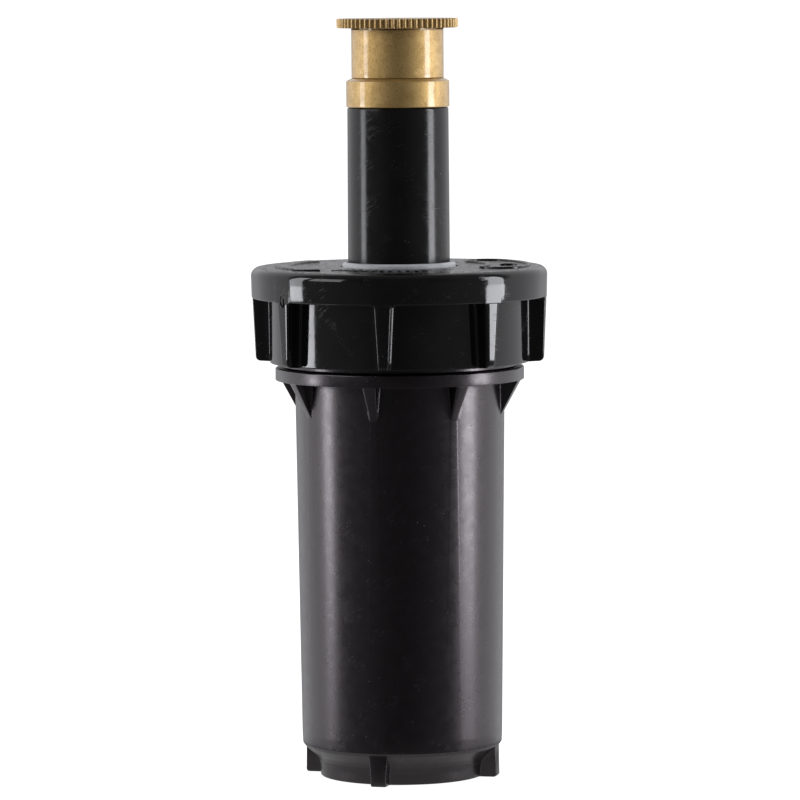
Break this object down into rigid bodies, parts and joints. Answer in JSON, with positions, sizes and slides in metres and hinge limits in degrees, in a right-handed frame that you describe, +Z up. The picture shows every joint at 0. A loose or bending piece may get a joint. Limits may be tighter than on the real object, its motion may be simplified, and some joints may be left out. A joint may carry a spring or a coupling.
{
  "type": "pop up sprinkler",
  "caption": "Pop-up lawn sprinkler head, raised: tapered case with a pipe inlet, screw cap with grips, wiper seal, sliding riser and a brass adjustable-arc spray nozzle.",
  "frame": {"origin": "on the head's axis, in the plane of the case's foot", "axes": "+Z up along the riser, -Y towards the front, +X to the right"},
  "size_m": [0.057, 0.057, 0.1456],
  "materials": {
    "case_plastic": "satin",
    "gloss_plastic": "gloss",
    "seal_rubber": "smooth",
    "black_rubber": "matt",
    "acetal": "satin",
    "spring_steel": "drawn",
    "brass": "turned, lightly worn",
    "filter_plastic": "satin",
    "filter_mesh": "woven"
  },
  "bodies": {
    "head": {"case_body": "case_plastic", "cap": "gloss_plastic", "wiper_seal": "seal_rubber", "seal_retainer": "acetal", "rim_gasket": "black_rubber", "retract_spring": "spring_steel"},
    "ratchet": {"ratchet_ring": "acetal"},
    "riser": {"riser": "gloss_plastic", "nozzle_washer": "black_rubber", "nozzle_base": "brass", "sleeve_o_ring": "black_rubber", "sleeve_snap_ring": "spring_steel", "filter_frame": "filter_plastic", "filter_mesh": "filter_mesh"},
    "sleeve": {"arc_sleeve": "brass"},
    "throttle": {"throttle_disc": "acetal"},
    "screw": {"flow_screw": "spring_steel", "screw_o_ring": "black_rubber"}
  },
  "joints": [
    {"name": "riser_slide", "type": "slide", "parent": "head", "child": "ratchet", "axis": [0, 0, 1], "range_m": [-0.0443, 0], "deforming": ["retract_spring"]},
    {"name": "riser_turn", "type": "hinge", "parent": "ratchet", "child": "riser", "pos_m": [0, 0, 0.067], "axis": [0, 0, 1], "continuous": true},
    {"name": "arc_turn", "type": "hinge", "parent": "riser", "child": "sleeve", "pos_m": [0, 0, 0.14], "axis": [0, 0, 1], "range_deg": [0, 180]},
    {"name": "screw_feed", "type": "slide", "parent": "riser", "child": "throttle", "axis": [0, 0, 1], "range_m": [-0.00244, 0.00139]},
    {"name": "screw_turn", "type": "hinge", "parent": "throttle", "child": "screw", "pos_m": [0, 0, 0.14], "axis": [0, 0, 1], "range_deg": [-1260, 720]}
  ],
  "couplings": [
    {"joint": "screw_turn", "follows": "screw_feed", "rad_per_m": 8976}
  ]
}
